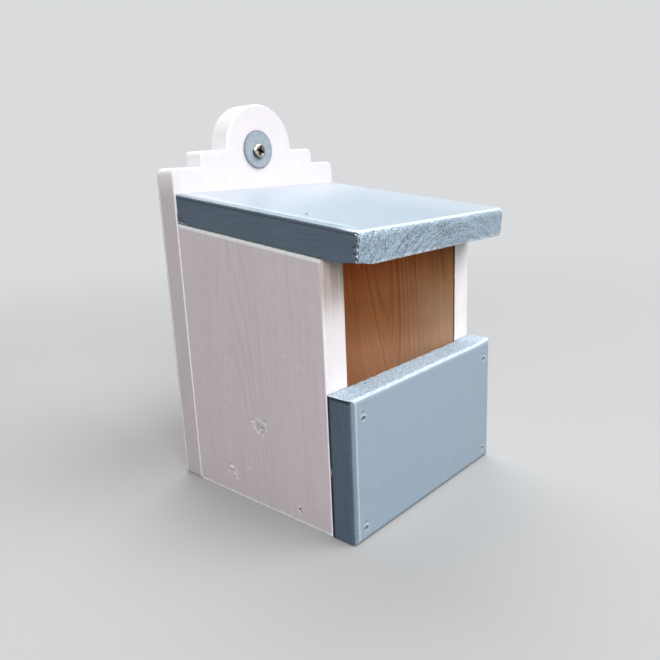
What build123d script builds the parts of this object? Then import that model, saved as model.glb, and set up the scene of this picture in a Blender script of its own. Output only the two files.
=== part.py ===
# Open-fronted nest box that hangs flat on a wall by one screw.
# X is right as seen from the front, the front faces -Y, Z is up.
# The wall plane is Y = 0 and the origin is on the back board's flat back face,
# in the middle of its width and halfway up to its shoulders.

from math import cos, radians, sin, tan
import os

from build123d import *

# Boards
board_thickness = 18.0
box_width = 150.0
shoulder_height = 210.0
step_rise = 10.0
step_width = 104.0
head_radius = 30.0
shoulder_round = 4.5
step_round = 4.5
back_edge_ease = 1.5

# Sides
side_depth = 121.0
side_edge_ease = 1.2

# Roof
roof_slope = 7.0
roof_below_shoulder = 15.9
roof_overhang = 24.0
roof_top_ease = 1.8
roof_nose_round = 4.0
roof_lip_round = 2.0

# Chip out of the roof's left edge, beside the back board
chip_length = 9.0
chip_height = 2.2
chip_depth = 1.6
chip_lift = 0.9

# Front board
front_height = 87.0
front_round = 3.5
front_top_round = 3.0

# Floor
floor_play = 0.25
drain_diameter = 8.0
drain_inset = 14.0

# Pins that hold the boards together
pin_diameter = 2.0
pin_sides = 8
pin_length = 30.0
pin_point = 2.5
pin_point_taper = 18.0
pin_play = 0.05
pin_set = 0.25
front_pin_inset = 12.0
roof_pin_inset = 14.0
roof_pin_back = 14.0
roof_pin_front = 96.0
floor_pin_back = 26.0
floor_pin_front = 95.0
back_pin_low = 45.0
back_pin_high = 140.0
back_floor_pin_inset = 55.0

# Screw and washer that hang the box on the wall
screw_offset = -2.0
screw_above_step = -1.0
screw_diameter = 4.8
screw_shank_diameter = 3.9
screw_play = 0.35
screw_head_diameter = 10.6
screw_head_height = 2.6
screw_head_round = 1.9
screw_length = 50.0
screw_plain_length = 22.0
screw_tip = 8.0
recess_width = 5.4
recess_slot = 1.3
recess_depth = 1.8
washer_diameter = 26.0
washer_hole = 7.2
washer_thickness = 1.4
washer_ease = 0.3
washer_shift_x = -0.9
washer_shift_z = 1.1

# Places that follow from the sizes above
half_width = box_width / 2
base = -shoulder_height / 2
back_front = -board_thickness
side_front = back_front - side_depth
front_face = side_front - board_thickness
inner_half = half_width - board_thickness
slope = tan(radians(roof_slope))
roof_rise = board_thickness / cos(radians(roof_slope))
side_back_top = base + shoulder_height - roof_below_shoulder - roof_rise
side_front_top = side_back_top - slope * side_depth
step_level = base + shoulder_height + step_rise
head_centre = step_level
screw_level = head_centre + screw_above_step
side_mid = half_width - board_thickness / 2
floor_mid = base + board_thickness / 2


def roof_under(y):
    """Height of the roof's underside at a depth y."""
    return side_back_top + slope * (y - back_front)


def side_plane(x):
    """Plane across the box at x, drawn with depth to the right and height up."""
    return Plane(origin=(x, 0, 0), x_dir=(0, 1, 0), z_dir=(1, 0, 0))


def front_plane(y):
    """Plane facing the front at a depth y, drawn with X to the right and Z up."""
    return Plane(origin=(0, y, 0), x_dir=(1, 0, 0), z_dir=(0, -1, 0))


def wall_hole():
    """Clearance hole for the wall screw, along the depth."""
    place = front_plane(0) * Pos(screw_offset, screw_level, board_thickness / 2)
    return place * Cylinder(screw_diameter / 2 + screw_play, board_thickness)


def pin_solid(play=0.0, rise=0.0):
    """A headless pin that starts at its origin and runs along +Z; play and rise make it its own hole."""
    flats = RegularPolygon(pin_diameter / 2 + play, pin_sides)
    straight = pin_length - pin_point + play
    shank = extrude(Pos(0, 0, -rise) * flats, rise + straight)
    return shank + extrude(Pos(0, 0, straight) * flats, pin_point, taper=pin_point_taper)


def pin_places():
    """Name and place of every pin; a place's +Z points into the board that the pin is driven through."""
    places = {}
    front = front_face + pin_set
    back = -pin_set
    for side, sign in (("left", -1), ("right", 1)):
        middle = sign * side_mid
        for level, z in (("lower", floor_mid), ("upper", base + front_height - front_pin_inset)):
            places[f"front_pin_{level}_{side}"] = Pos(middle, front, z) * Rot(-90, 0, 0)
        for level, z in (("lower", base + back_pin_low), ("upper", base + back_pin_high)):
            places[f"back_pin_{level}_{side}"] = Pos(middle, back, z) * Rot(90, 0, 0)
        floor_x = sign * (half_width - back_floor_pin_inset)
        places[f"floor_back_pin_{side}"] = Pos(floor_x, back, floor_mid) * Rot(90, 0, 0)
        for level, depth in (("back", floor_pin_back), ("front", floor_pin_front)):
            outer = Pos(sign * (half_width - pin_set), back_front - depth, floor_mid)
            places[f"floor_pin_{level}_{side}"] = outer * Rot(0, -90 * sign, 0)
        for level, depth in (("back", roof_pin_back), ("front", roof_pin_front)):
            along = back_front - depth
            top = Pos(sign * (half_width - roof_pin_inset), along, roof_under(along) + roof_rise)
            place = top * Rot(roof_slope, 0, 0) * Pos(0, 0, -pin_set) * Rot(180, 0, 0)
            places[f"roof_pin_{level}_{side}"] = place
    return places


def drill(board, places, words):
    """The board with a hole for every pin whose name starts with one of the words."""
    hole = pin_solid(pin_play, 2 * pin_set)
    for name, place in places.items():
        if name.startswith(words):
            board -= place * hole
    return board


def back_board(places):
    """Back board: straight sides, low shoulders, an upper step and a half-round head."""
    shoulder = base + shoulder_height
    step = step_width / 2
    with BuildSketch(front_plane(0)) as outline:
        with BuildLine():
            Polyline((0, base), (half_width, base), (half_width, shoulder), (step, shoulder),
                     (step, step_level), (head_radius, step_level))
            CenterArc((0, head_centre), head_radius, 0, 90)
            Line((0, head_centre + head_radius), (0, base))
        make_face()
        mirror(about=Plane.YZ)
    board = extrude(outline.sketch, board_thickness)
    board = round_corners(board, half_width, shoulder, shoulder_round)
    board = round_corners(board, step, step_level, step_round)
    rim = board.faces().sort_by(Axis.Y)[0].outer_wire().edges()
    board = fillet(rim, back_edge_ease)
    return drill(board - wall_hole(), places, ("back_pin", "floor_back_pin"))


def round_corners(board, x, z, radius):
    """Rounds the two upright corners of the outline at the given half width and height."""
    along = board.edges().filter_by(Axis.Y)
    at = [e for e in along if abs(abs(e.center().X) - x) < 0.01 and abs(e.center().Z - z) < 0.01]
    return fillet(at, radius)


def side_board(sign, places):
    """A side: upright at the back, its top edge sloping down to the front."""
    inner = sign * inner_half
    with BuildSketch(side_plane(inner)) as outline:
        with BuildLine():
            Polyline((back_front, base), (side_front, base), (side_front, side_front_top),
                     (back_front, side_back_top), close=True)
        make_face()
    board = extrude(outline.sketch, sign * board_thickness)
    outer = board.faces().sort_by(Axis.X)[-1 if sign > 0 else 0]
    board = fillet(outer.edges(), side_edge_ease)
    word = "left" if sign < 0 else "right"
    names = {name: place for name, place in places.items() if name.endswith(word)}
    return drill(board, names, ("front_pin", "back_pin", "roof_pin", "floor_pin"))


def roof_board(places):
    """Roof: bevelled to the back board, cut square at the front, its nose rounded."""
    lip_y = side_front - roof_overhang
    tilt = radians(roof_slope)
    nose_y = lip_y - board_thickness * sin(tilt)
    nose_z = roof_under(lip_y) + board_thickness * cos(tilt)
    with BuildSketch(side_plane(-half_width)) as outline:
        with BuildLine():
            Polyline((back_front, side_back_top), (lip_y, roof_under(lip_y)), (nose_y, nose_z),
                     (back_front, side_back_top + roof_rise), close=True)
        make_face()
    board = extrude(outline.sketch, box_width)
    across = board.edges().filter_by(Axis.X).sort_by(Axis.Y)
    board = fillet(across[0], roof_nose_round)
    lower = board.edges().filter_by(Axis.X).sort_by(Axis.Z)
    board = fillet(lower[0], roof_lip_round)
    ends = board.faces().filter_by(Axis.X)
    rims = [e for face in ends for e in face.edges() if e.center().Y < back_front - 0.01]
    board = fillet([e for e in rims if e.center().Z > roof_under(e.center().Y) + 0.01], roof_top_ease)
    return drill(board - chip(), places, ("roof_pin",))


def chip():
    """The splinter missing from the roof's left edge, a thin wedge beside the back board."""
    low = side_back_top + chip_lift
    far = back_front - chip_length
    with BuildSketch(side_plane(-half_width - 1)) as outline:
        with BuildLine():
            Polyline((back_front + 1, low), (back_front + 1, low + chip_height),
                     (far, roof_under(far) + chip_lift), close=True)
        make_face()
    return extrude(outline.sketch, chip_depth + 1)


def front_board(places):
    """Front board over the lower half of the opening, its front edges rounded."""
    with BuildSketch(front_plane(side_front)) as outline:
        with Locations((0, base + front_height / 2)):
            Rectangle(box_width, front_height)
    board = extrude(outline.sketch, board_thickness)
    face = board.faces().sort_by(Axis.Y)[0]
    top = face.edges().sort_by(Axis.Z)[-1]
    board = fillet(face.edges() - [top], front_round)
    crown = board.faces().sort_by(Axis.Y)[0].edges().sort_by(Axis.Z)[-1]
    board = fillet(crown, front_top_round)
    return drill(board, places, ("front_pin",))


def floor_board(places):
    """Floor between the sides, with a drain hole near each corner."""
    width = 2 * (inner_half - floor_play)
    centre = Pos(0, back_front - side_depth / 2, floor_mid)
    board = centre * Box(width, side_depth, board_thickness)
    reach_x = inner_half - drain_inset
    reach_y = side_depth / 2 - drain_inset
    for place in GridLocations(2 * reach_x, 2 * reach_y, 2, 2):
        board -= centre * place * Cylinder(drain_diameter / 2, board_thickness)
    return drill(board, places, ("floor_pin", "floor_back_pin"))


def wall_washer():
    """Wide thin washer under the screw's head."""
    place = front_plane(back_front) * Pos(screw_offset + washer_shift_x, screw_level + washer_shift_z)
    disc = extrude(Circle(washer_diameter / 2) - Circle(washer_hole / 2), washer_thickness)
    rim = disc.edges().filter_by(GeomType.CIRCLE).sort_by(Axis.Z)[-2:]
    return place * chamfer(rim, washer_ease)


def wall_screw():
    """Pan head screw: rounded head with a cross recess, plain neck, threaded shank and a point."""
    head = screw_head_diameter / 2
    neck = screw_shank_diameter / 2
    shank = screw_diameter / 2
    with BuildSketch(Plane.XZ) as section:
        with BuildLine():
            Polyline((0, screw_head_height), (head, screw_head_height), (head, 0), (neck, 0),
                     (neck, -screw_plain_length), (shank, -screw_plain_length),
                     (shank, screw_tip - screw_length), (0, -screw_length), close=True)
        make_face()
    screw = revolve(section.sketch, axis=Axis.Z)
    crown = screw.edges().filter_by(GeomType.CIRCLE).sort_by(Axis.Z)[-1]
    screw = fillet(crown, screw_head_round)
    slot = Pos(0, 0, screw_head_height)
    screw -= slot * Box(recess_width, recess_slot, 2 * recess_depth)
    screw -= slot * Box(recess_slot, recess_width, 2 * recess_depth)
    place = front_plane(back_front - washer_thickness) * Pos(screw_offset, screw_level)
    return place * screw


def main():
    os.makedirs("parts", exist_ok=True)
    places = pin_places()
    pieces = {
        "back_board": back_board(places),
        "left_side": side_board(-1, places),
        "right_side": side_board(1, places),
        "roof_board": roof_board(places),
        "front_board": front_board(places),
        "floor_board": floor_board(places),
        "wall_washer": wall_washer(),
        "wall_screw": wall_screw(),
    }
    for name, place in places.items():
        pieces[name] = place * pin_solid()
    for name, piece in pieces.items():
        export_step(piece, f"parts/{name}.step")
        print(name, round(piece.volume, 1))


main()
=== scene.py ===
# %% [markdown]
# # A painted nest box with an open front
# The real thing is a small box of planed softwood boards, pinned together and hung flat on a wall by one screw.
# The back, the sides and their edges are painted white, the roof and the low front board blue-grey, and the
# inside is left bare. Its shape comes packed from the workshop drawing. This notebook dresses that model: every
# board but the floor is made again with eased edges, rough sawn ends and pin dents, and each board gets a finish
# of its own.

# %% Load the imported box
import math

import bpy
import numpy as np
from mathutils import Matrix, Vector, noise
from mathutils.geometry import delaunay_2d_cdt


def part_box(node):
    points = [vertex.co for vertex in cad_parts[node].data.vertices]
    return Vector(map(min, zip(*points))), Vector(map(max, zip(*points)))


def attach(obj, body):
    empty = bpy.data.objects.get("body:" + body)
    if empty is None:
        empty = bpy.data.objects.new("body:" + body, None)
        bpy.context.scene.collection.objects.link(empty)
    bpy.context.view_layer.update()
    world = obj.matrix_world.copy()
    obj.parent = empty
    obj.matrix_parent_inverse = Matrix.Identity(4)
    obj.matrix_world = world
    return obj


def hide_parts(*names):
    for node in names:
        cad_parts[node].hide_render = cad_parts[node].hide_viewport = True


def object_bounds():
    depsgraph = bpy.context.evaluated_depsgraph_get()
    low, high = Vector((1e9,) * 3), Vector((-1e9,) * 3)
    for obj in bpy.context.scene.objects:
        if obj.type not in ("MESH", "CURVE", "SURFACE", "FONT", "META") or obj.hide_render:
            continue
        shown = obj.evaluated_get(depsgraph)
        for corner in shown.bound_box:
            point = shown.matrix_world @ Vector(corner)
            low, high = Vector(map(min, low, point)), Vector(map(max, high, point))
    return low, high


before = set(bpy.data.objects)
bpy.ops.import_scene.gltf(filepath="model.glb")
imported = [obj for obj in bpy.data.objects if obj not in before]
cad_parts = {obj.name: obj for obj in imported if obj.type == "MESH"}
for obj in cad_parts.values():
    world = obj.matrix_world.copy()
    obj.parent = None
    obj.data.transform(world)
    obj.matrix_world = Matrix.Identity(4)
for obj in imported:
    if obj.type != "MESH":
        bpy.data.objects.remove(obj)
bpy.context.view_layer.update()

MM = 0.001
print("nodes in the frame:", len(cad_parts))

# %% [markdown]
# ## Sizes that the boards share
# The frame says where each board starts and ends, so no size is typed twice. Only the roundings and
# the stepped outline of the back are repeated here, because a box of corners can't tell them.

# %% Places read from the frame
back_low, back_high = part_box("back_board")
left_low, left_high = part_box("left_side")
front_low, front_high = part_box("front_board")
washer_low, washer_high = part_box("wall_washer")
screw_low, screw_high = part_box("wall_screw")
HALF_WIDTH = back_high.x
INNER_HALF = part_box("right_side")[0].x
BASE = back_low.z
BACK_FRONT = back_low.y
SIDE_FRONT = left_low.y
FRONT_FACE = front_low.y
FRONT_TOP = front_high.z
BOARD = HALF_WIDTH - INNER_HALF
SHOULDER = -BASE
STEP_HALF = 52 * MM
STEP = SHOULDER + 10 * MM
HEAD = 30 * MM
ROOF_SLOPE = math.radians(7.0)
ROOF_OVERHANG = 24 * MM
SIDE_BACK_TOP = left_high.z
ROOF_DROP = math.tan(ROOF_SLOPE)
ALONG = Vector((0, math.cos(ROOF_SLOPE), math.sin(ROOF_SLOPE)))
ACROSS = Vector((0, -math.sin(ROOF_SLOPE), math.cos(ROOF_SLOPE)))
HINGE = Vector((0, BACK_FRONT, SIDE_BACK_TOP))
ROOF_REACH = (SIDE_FRONT - ROOF_OVERHANG - BACK_FRONT) / math.cos(ROOF_SLOPE)
print("box width", round(2 * HALF_WIDTH, 4), "board", round(BOARD, 4))

# %% [markdown]
# ## Camera
# The camera stands where the photographer stood: low on the left of the box, less than half a metre
# away, looking slightly down. A short lens so close makes the near corner large, so the distance
# matters as much as the angle.

# %% Camera at the photo's angle
CAMERA_PLACE = Vector((-321.3, -365.2, 103.9)) * MM
CAMERA_AZIMUTH = 48.0
CAMERA_DOWN = 14.36
CAMERA_ROLL = -2.43
CAMERA_FOCAL = 652.0 / 660.0


def make_camera():
    data = bpy.data.cameras.new("camera")
    data.sensor_width = 36.0
    data.lens = CAMERA_FOCAL * data.sensor_width
    data.clip_start = 0.01
    camera = bpy.data.objects.new("camera", data)
    turn = Matrix.Rotation(math.radians(-CAMERA_AZIMUTH), 4, "Z")
    tip = Matrix.Rotation(math.radians(90 - CAMERA_DOWN), 4, "X")
    roll = Matrix.Rotation(math.radians(CAMERA_ROLL), 4, "Z")
    camera.matrix_world = Matrix.Translation(CAMERA_PLACE) @ turn @ tip @ roll
    bpy.context.scene.collection.objects.link(camera)
    bpy.context.scene.camera = camera
    return camera


camera = make_camera()
bpy.context.scene.view_settings.view_transform = "Standard"
print("lens", round(camera.data.lens, 2), "mm at", [round(v, 3) for v in camera.location])

# %% [markdown]
# ## A short way to write shader maths
# A pattern on wood is a sum of waves, noises and masks. Written as nodes it is hard to read, so the
# small class below wraps a socket: adding or multiplying two of them puts the Math node in the tree.

# %% Wires


def maths(operation, swapped=False):
    """A method that joins a wire and what it is given by one Math node."""
    def method(self, *others):
        values = (*others, self) if swapped else (self, *others)
        return self.finish.node("ShaderNodeMath", {"operation": operation}, dict(enumerate(values)))
    return method


class Wire:
    """A number that changes over a surface: one output socket of a node tree."""

    def __init__(self, finish, socket):
        self.finish = finish
        self.socket = socket

    __add__ = __radd__ = maths("ADD")
    __sub__ = maths("SUBTRACT")
    __rsub__ = maths("SUBTRACT", swapped=True)
    __mul__ = __rmul__ = maths("MULTIPLY")
    __truediv__ = maths("DIVIDE")
    __rtruediv__ = maths("DIVIDE", swapped=True)
    abs = maths("ABSOLUTE")
    min = maths("MINIMUM")
    max = maths("MAXIMUM")
    sin = maths("SINE")
    root = maths("SQRT")

    def rise(self, low, high):
        """0 below low, 1 above high, smooth between; high may be the smaller one."""
        sockets = {"Value": self, "From Min": low, "From Max": high}
        return self.finish.node("ShaderNodeMapRange", {"interpolation_type": "SMOOTHSTEP"}, sockets)

    def rise_at(self, edge, low, high):
        """The same between two places that are counted in mm from an edge."""
        return self.rise(edge + low * MM, edge + high * MM)


print("a wire can be added, multiplied, compared and masked")

# %% [markdown]
# ## Finishes
# A finish is a material while it is being made. It knows where a point of the surface lies and which
# way the surface looks there, and at the end it puts colour, gloss and relief on one shader.

# %% Finishes
COAT_ROUGHNESS = 0.32


class Finish:
    """A material, or the surround, while its node tree is being made."""

    def __init__(self, name, family="materials"):
        self.made = getattr(bpy.data, family).new(name)
        self.made.use_nodes = True
        self.tree = self.made.node_tree
        self.tree.nodes.clear()

    def node(self, kind, settings=None, sockets=None, out=0):
        """Adds a node, sets it up, joins its sockets and returns one output as a wire."""
        made = self.tree.nodes.new(kind)
        for key, value in (settings or {}).items():
            setattr(made, key, value)
        for key, value in (sockets or {}).items():
            if isinstance(value, Wire):
                self.tree.links.new(value.socket, made.inputs[key])
            else:
                made.inputs[key].default_value = value
        return Wire(self, made.outputs[out]) if len(made.outputs) else made

    def place(self):
        """Where a point of the surface is, in metres."""
        return self.node("ShaderNodeTexCoord", out="Object")

    def stretch(self, place, scale):
        return self.node("ShaderNodeVectorMath", {"operation": "MULTIPLY"}, {0: place, 1: scale})

    def split(self, vector):
        parts = self.node("ShaderNodeSeparateXYZ", None, {"Vector": vector}).socket.node
        return [Wire(self, parts.outputs[axis]) for axis in "XYZ"]

    def xyz(self):
        return self.split(self.place())

    def in_mm(self):
        return self.split(self.stretch(self.place(), (1000, 1000, 1000)))

    def facing(self):
        """The three parts of the way that the surface looks, each from -1 to 1."""
        return self.split(self.node("ShaderNodeTexCoord", out="Normal"))

    def cloud(self, place, scale, detail=3.0, rough=0.55):
        sockets = {"Vector": place, "Scale": scale, "Detail": detail, "Roughness": rough}
        return self.node("ShaderNodeTexNoise", None, sockets)

    def mix(self, factor, first, second):
        """A colour between two; each is a wire or three numbers."""
        tints = [tint if isinstance(tint, Wire) else (*tint, 1.0) for tint in (first, second)]
        return self.node("ShaderNodeMix", {"data_type": "RGBA"}, {0: factor, 6: tints[0], 7: tints[1]}, out=2)

    def surface(self, colour, roughness, height=None, metallic=0.0, coat=None):
        """Puts the colour, gloss and relief, in mm, on the one shader that the finish shows."""
        sockets = {"Base Color": colour, "Roughness": roughness, "Metallic": metallic}
        if coat is not None:
            sockets.update({"Specular IOR Level": 0.0, "Coat Weight": coat, "Coat Roughness": COAT_ROUGHNESS})
        if height is not None:
            bump = {"Height": height, "Distance": MM, "Strength": 1.0}
            sockets["Normal"] = self.node("ShaderNodeBump", None, bump)
        shader = self.node("ShaderNodeBsdfPrincipled", None, sockets)
        self.node("ShaderNodeOutputMaterial", None, {"Surface": shader})
        return self.made


print("coat roughness", COAT_ROUGHNESS)

# %% [markdown]
# ## Boards as fine lattices
# A planed board looks like a box, but its corners are never sharp and its sawn ends are rough. A
# bevel modifier would round every edge alike. Here a board starts as a lattice of points on a box,
# with lines packed near the edges, and each point is then moved onto the true surface. That surface
# is written as a distance: faces are planes, and where two planes meet a radius rounds them off.

# %% Lattice and rounding helpers
EDGE_LINES = np.array([0, .2, .45, .75, 1.1, 1.5, 2.0, 2.7, 3.5, 4.4]) * MM
ACROSS_FIBRES = 0.8 * MM
ALONG_FIBRES = 2.6 * MM
PIN_LINES = (1.75 * MM, 0.35 * MM)


def lines(low, high, spacing, near=(), reach=0.0, fine=None):
    """Where the lattice lines lie between low and high; near places get finer lines around them."""
    inner = np.linspace(low, high, max(2, round((high - low) / spacing) + 1))
    wanted = [low + EDGE_LINES, high - EDGE_LINES]
    for centre in near:
        count = round(2 * reach / fine) + 1
        wanted.append(centre + np.linspace(-reach, reach, count))
    wanted = np.unique(np.round(np.concatenate(wanted), 6))
    kept = [low]
    for value in wanted[(wanted > low) & (wanted < high)]:
        if value - kept[-1] > 0.15 * MM:
            kept.append(value)
    kept = np.array(kept)
    clear = np.abs(inner[:, None] - kept[None]).min(1) > 0.6 * spacing
    return np.unique(np.concatenate([kept, inner[clear], [high]]))


def lattice(xs, ys, zs):
    """Points and faces of a closed box whose six faces are grids that share their edges."""
    shell = np.zeros((len(xs), len(ys), len(zs)), bool)
    for axis in range(3):
        np.moveaxis(shell, axis, 0)[[0, -1]] = True
    number = np.full(shell.shape, -1)
    number[shell] = np.arange(shell.sum())
    points = np.stack(np.meshgrid(xs, ys, zs, indexing="ij"), -1)[shell]
    faces = []
    for axis in range(3):
        for end in (0, -1):
            grid = np.take(number, end, axis=axis)
            quads = [grid[:-1, :-1], grid[1:, :-1], grid[1:, 1:], grid[:-1, 1:]]
            outward = (end == -1) != (axis == 1)
            faces.append(np.stack(quads if outward else quads[::-1], -1).reshape(-1, 4))
    return points, np.concatenate(faces)


def meet(first, second, radius):
    """Distance to the solid inside both faces, their shared edge rounded to a radius."""
    over = np.hypot(np.maximum(first + radius, 0), np.maximum(second + radius, 0))
    return np.minimum(np.maximum(first, second), -radius) + over


def facing_of(skin, points, step=2e-6):
    """Which way the surface faces at each point."""
    turns = [skin(points + nudge) - skin(points - nudge) for nudge in np.eye(3) * step]
    facing = np.stack(turns, 1)
    return facing / np.maximum(np.linalg.norm(facing, axis=1, keepdims=True), 1e-12)


def settle(points, skin, rounds=4):
    """Moves points onto the surface where the distance is nought."""
    for _ in range(rounds):
        points = points - skin(points)[:, None] * facing_of(skin, points)
    return points


def ramp(values, low, high):
    """0 below low, 1 above high, smooth between."""
    part = np.clip((values - low) / (high - low), 0, 1)
    return part * part * (3 - 2 * part)


def ripple(points, per_mm, seed):
    """Smooth noise from -1 to 1 with so many bumps in a millimetre along each axis."""
    spots = points / MM * np.array(per_mm) + seed
    return np.array([noise.noise(spot) for spot in spots.tolist()])


points, faces = lattice(*[lines(0, size, 2 * MM) for size in (0.02, 0.03, 0.04)])
print("a trial lattice has", len(points), "points and", len(faces), "faces")

# %% [markdown]
# ## Rough ends, soft grain, pin dents
# Softwood shows two surfaces. Along the grain the plane leaves it smooth, with faint ridges where the harder
# rings stand proud. Across the grain the saw tears the fibres into pits and leaves slanting scores, and the
# corners of such an end are ragged. All of it goes inwards from the clean board, apart from the lumps over two
# roof pins, which stand proud.

# %% Relief of sawn and planed wood
SAWN_PIT = 0.26
SAWN_SCORE = 0.10
PLANED_RIDGE = 0.05
TORN_CORNER = 0.9
PIN_DENT = 0.25
FILLER_BESIDE = {"roof_pin_front_left": (1.8, -2.2, -0.3)}


def pin_heads():
    """Where each pin's head lies and which way it looks."""
    heads = {}
    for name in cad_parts:
        if "pin" not in name:
            continue
        low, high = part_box(name)
        middle = (low + high) / 2
        if name.startswith("front"):
            heads[name] = Vector((middle.x, low.y, middle.z)), Vector((0, -1, 0))
        elif name.startswith(("back", "floor_back")):
            heads[name] = Vector((middle.x, high.y, middle.z)), Vector((0, 1, 0))
        elif name.startswith("floor"):
            side = 1 if middle.x > 0 else -1
            outer = high.x if side > 0 else low.x
            heads[name] = Vector((outer, middle.y, middle.z)), Vector((side, 0, 0))
        else:
            beside = Vector(FILLER_BESIDE.get(name, (0, 0, 0))) * MM
            heads[name] = Vector((middle.x, low.y + 1.0 * MM, high.z)) + beside, ACROSS
    return heads


HEADS = pin_heads()
PROUD_PINS = {"roof_pin_front_left": -1.0, "roof_pin_back_left": -0.5}
FILLED = ("floor_pin_back_left", "roof_pin_back_right", "roof_pin_front_right")


def pins_of(start, end=""):
    return [name for name in HEADS if name.startswith(start) and name.endswith(end)]


def pins_at(names, axis):
    return [HEADS[name][0][axis] for name in names]


def dents(points, facing):
    """Depth in mm of the small dishes that the punch left over the pins."""
    depth = np.zeros(len(points))
    for name, (place, way) in HEADS.items():
        if name in FILLED:
            continue
        away = points - np.array(place)
        across = away - np.outer(away @ np.array(way), way)
        near = np.linalg.norm(across, axis=1) / MM
        on_face = (facing @ np.array(way) > 0.7) & (np.abs(away @ np.array(way)) < 2 * MM)
        deep = PROUD_PINS.get(name, PIN_DENT)
        depth += on_face * deep * (1 - ramp(near, 0.75, 1.35 if deep > 0 else 1.9))
    return depth


def worn(points, facing, grain, seed, ridge=PLANED_RIDGE):
    """Depth in mm that sawing and planing took off a board whose fibres run along grain."""
    grain = np.array(grain)
    end = ramp(np.abs(facing @ grain), 0.55, 0.9)
    corner = ramp(1 - np.abs(facing).max(1), 0.02, 0.2)
    pits = ripple(points, (0.75, 0.75, 0.75), seed) + 0.6 * ripple(points, (1.5, 1.5, 1.5), seed + 9)
    slant = points @ np.array([0.74, 0.35, 0.57]) / MM
    scores = np.sin(slant * 2.4 + 1.5 * ripple(points, (0.12, 0.12, 0.12), seed + 17))
    sawn = SAWN_PIT * (0.5 + 0.5 * pits) + SAWN_SCORE * (0.5 + 0.5 * scores)
    along = (1 - np.abs(grain)) * 0.42 + np.abs(grain) * 0.012
    planed = ridge * (0.5 + 0.5 * ripple(points, along, seed + 31))
    torn = TORN_CORNER * np.maximum(ripple(points, (0.8, 0.8, 0.8), seed + 43) - 0.12, 0)
    mixed = corner * (0.25 + 0.75 * end) * torn
    return np.maximum(end * sawn + (1 - end) * planed + mixed, 0) + dents(points, facing)


print("pin heads found:", len(HEADS))

# %% [markdown]
# ## From points to a piece
# The points and faces become one mesh.

# %% Piece maker
SHARP_ANGLE = math.radians(50)


def make_piece(name, points, faces, material, slot, *nodes):
    mesh = bpy.data.meshes.new(name)
    mesh.from_pydata(np.asarray(points).tolist(), [], [list(map(int, face)) for face in faces])
    mesh.validate()
    mesh.shade_smooth()
    mesh.set_sharp_from_angle(angle=SHARP_ANGLE)
    mesh.materials.append(material)
    piece = bpy.data.objects.new(name, mesh)
    bpy.context.scene.collection.objects.link(piece)
    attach(piece, "root")
    if nodes:
        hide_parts(*nodes)
    print(name, len(mesh.vertices), "points,", len(mesh.polygons), "faces")
    return piece


def make_board(node, grid, place, skin, grain, material, slot, seed, extra=None, ridge=PLANED_RIDGE):
    points, faces = lattice(*grid)
    points = settle(place(points), skin)
    facing = facing_of(skin, points)
    depth = worn(points, facing, grain, seed, ridge)
    if extra is not None:
        depth = depth + extra(points, facing)
    points = points - facing * (depth * MM)[:, None]
    return make_piece(node + "_dressed", points, faces, material, slot, node)



print("a corner over", round(math.degrees(SHARP_ANGLE)), "degrees stays sharp")

# %% [markdown]
# ## Bare pine
# Inside, the boards are left as the plane left them. Pine shows rings: a broad pale band grown in
# spring, a thin dark one in late summer. A board is a slice through those rings, so the pattern is
# worked out in space, as the distance to the tree's heart. The heart leans a little against the
# board, and that is why some rings close to a pointed tongue instead of running straight up. No two
# rings are equally wide, so the distance is fed to a noise rather than to a regular wave.

# %% Bare pine
PINE_PALE = (0.72, 0.38, 0.165)
PINE_DARK = (0.41, 0.158, 0.053)
PINE_GREY = (0.76, 0.59, 0.45)
HEART_LEAN = 0.12


def fibres(finish, grain, across, along, detail=3.0, rough=0.55):
    """Noise drawn out along the fibres: so many streaks in a metre across them and along them."""
    counts = (across, along, across) if grain == "roof" else (across, across, along)
    return finish.cloud(finish.stretch(finish.place(), counts), 1.0, detail, rough)


def rings_of(finish, heart, grain):
    """0 in the pale wood to 1 in the dark line of each ring, and the fine fibres."""
    x, y, z = finish.in_mm()
    if grain == "roof":
        gap = z - heart[1] - (y + 90) * HEART_LEAN
        side = x - heart[0]
        run = y
    else:
        gap = x - heart[0] + (z - 45) * HEART_LEAN
        side = y - heart[1] - (z - 45) * heart[2]
        run = z
    reach = (gap * gap + side * side).root() + fibres(finish, grain, 35, 4, 2.0) * 9.0
    trace = finish.node("ShaderNodeCombineXYZ", None, {"X": reach * 0.38, "Y": run * 0.004, "Z": heart[0]})
    broad = finish.cloud(trace, 1.0, 1.0).rise(0.42, 0.66)
    lines = finish.cloud(trace, 2.3, 3.0, 0.7).rise(0.50, 0.62)
    close = (reach * 1.7).sin().rise(0.1, 0.95) * reach.rise(13.0, 17.0) * reach.rise(44.0, 34.0)
    close = close * (side.rise(3.0, -5.0) * 0.8 + 0.2)
    return broad * 0.3 + lines * 0.45 + close * 0.5, fibres(finish, grain, 1900, 30)


def shade(finish, colour, amount):
    """The colour made lighter or darker by a wire."""
    return finish.node("ShaderNodeVectorMath", {"operation": "SCALE"}, {0: colour, "Scale": amount})


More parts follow.
